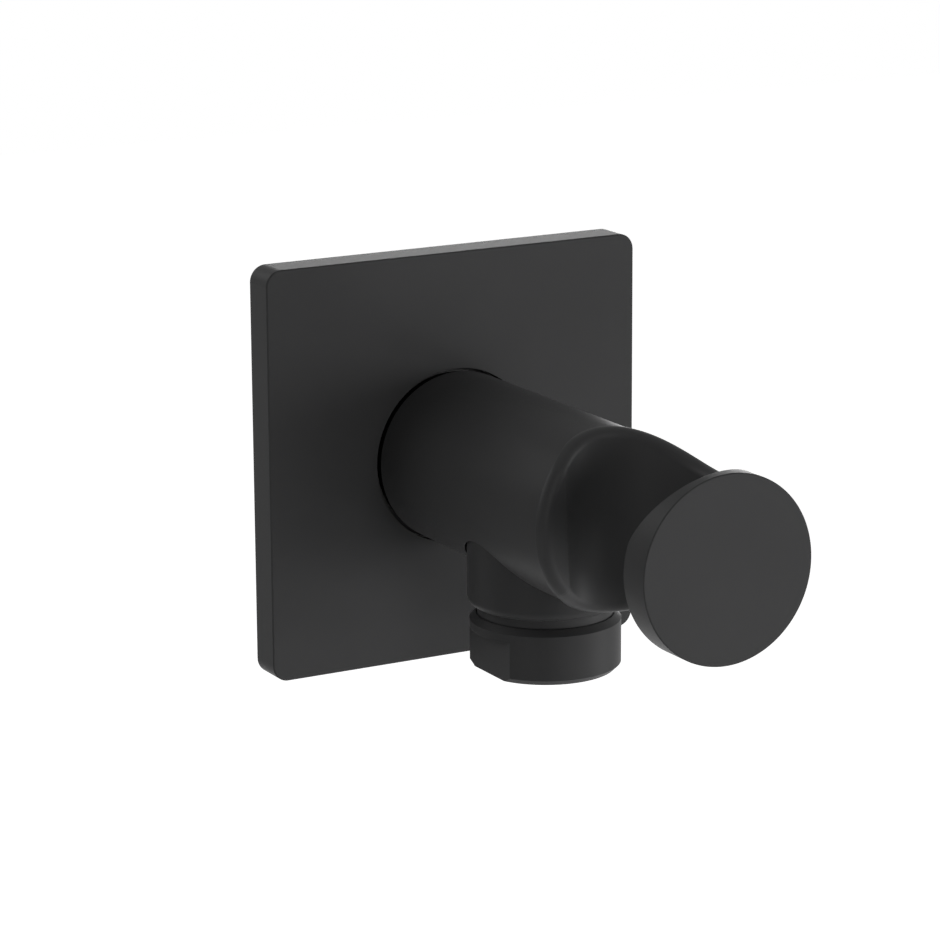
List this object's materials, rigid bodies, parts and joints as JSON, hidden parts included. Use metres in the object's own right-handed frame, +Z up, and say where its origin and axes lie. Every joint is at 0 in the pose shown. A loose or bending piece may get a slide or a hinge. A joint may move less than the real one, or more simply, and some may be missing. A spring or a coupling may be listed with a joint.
{
  "type": "hand shower hook",
  "caption": "Wall outlet elbow with a square cover plate, a round arm with a side-opening cradle for a hand shower and a hose outlet underneath.",
  "frame": {"origin": "on the wall plane, where the axis of the wall inlet meets it; the cover plate's back rim lies in this plane", "axes": "+Z up, -Y away from the wall along the arm, +Y into the wall, +X to the right seen from the front; the cradle opens to -X"},
  "size_m": [0.07, 0.1054, 0.07],
  "materials": {
    "black_metal": "matt black coating on brass",
    "black_plastic": "satin",
    "black_rubber": "matt",
    "bare_brass": "machined",
    "plain_steel": "plain",
    "white_plastic": "moulded"
  },
  "bodies": {
    "root": {"escutcheon": "black_metal", "plate_gasket": "black_rubber", "plate_oring": "black_rubber", "body": "black_metal", "inlet_nipple": "bare_brass", "nipple_oring_rear": "black_rubber", "nipple_oring_front": "black_rubber", "grub_screw": "plain_steel", "outlet_stub": "black_metal", "stub_oring": "black_rubber", "check_valve": "white_plastic", "outlet_collar": "black_metal", "collar_oring": "black_rubber", "hose_washer": "black_rubber", "cradle_liner": "black_plastic", "front_disc": "black_metal", "disc_stud_upper": "plain_steel", "disc_stud_lower": "plain_steel"}
  },
  "joints": []
}
